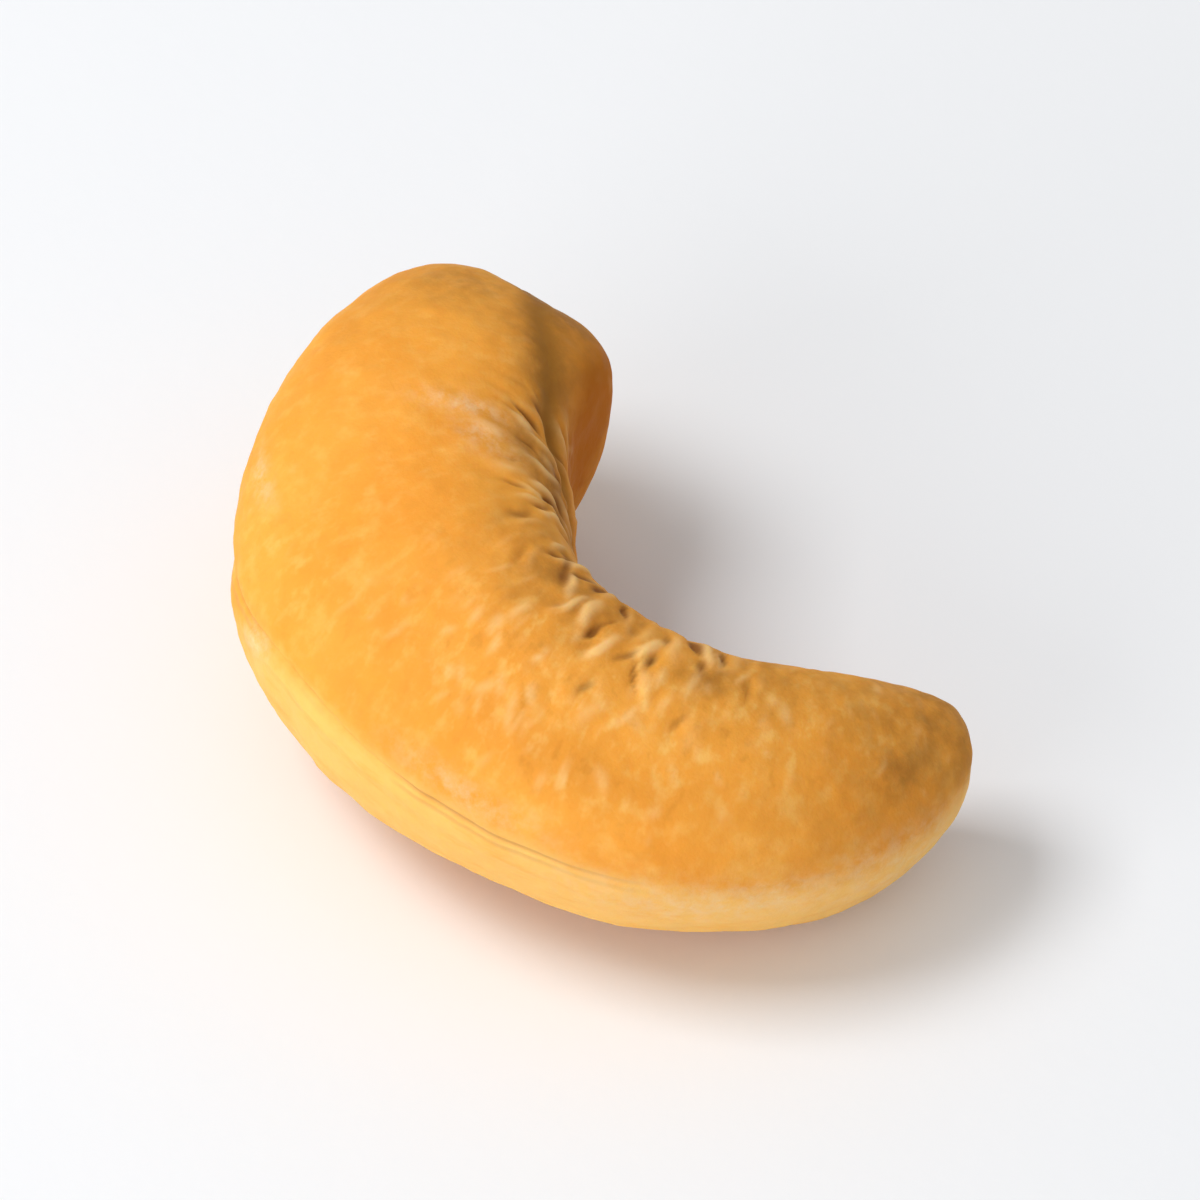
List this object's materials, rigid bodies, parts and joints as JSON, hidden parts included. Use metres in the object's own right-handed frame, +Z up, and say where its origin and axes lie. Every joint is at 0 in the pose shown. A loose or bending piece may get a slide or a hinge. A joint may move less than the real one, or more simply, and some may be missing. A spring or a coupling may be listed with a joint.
{
  "type": "roasted cashew nut",
  "caption": "Whole roasted cashew kernel, a crescent with a broad lobe and a slimmer arm round an open bay, lying on its side.",
  "frame": {"origin": "on the surface that the kernel lies on, under the middle of its box", "axes": "+X from the broad lobe to the slimmer arm, +Y out of the bay between them, +Z up through the kernel's thickness"},
  "size_m": [0.0258, 0.016, 0.011],
  "materials": {
    "kernel": "dry roasted golden kernel, satin with a slight oily sheen"
  },
  "bodies": {
    "root": {"kernel": "kernel"}
  },
  "joints": []
}
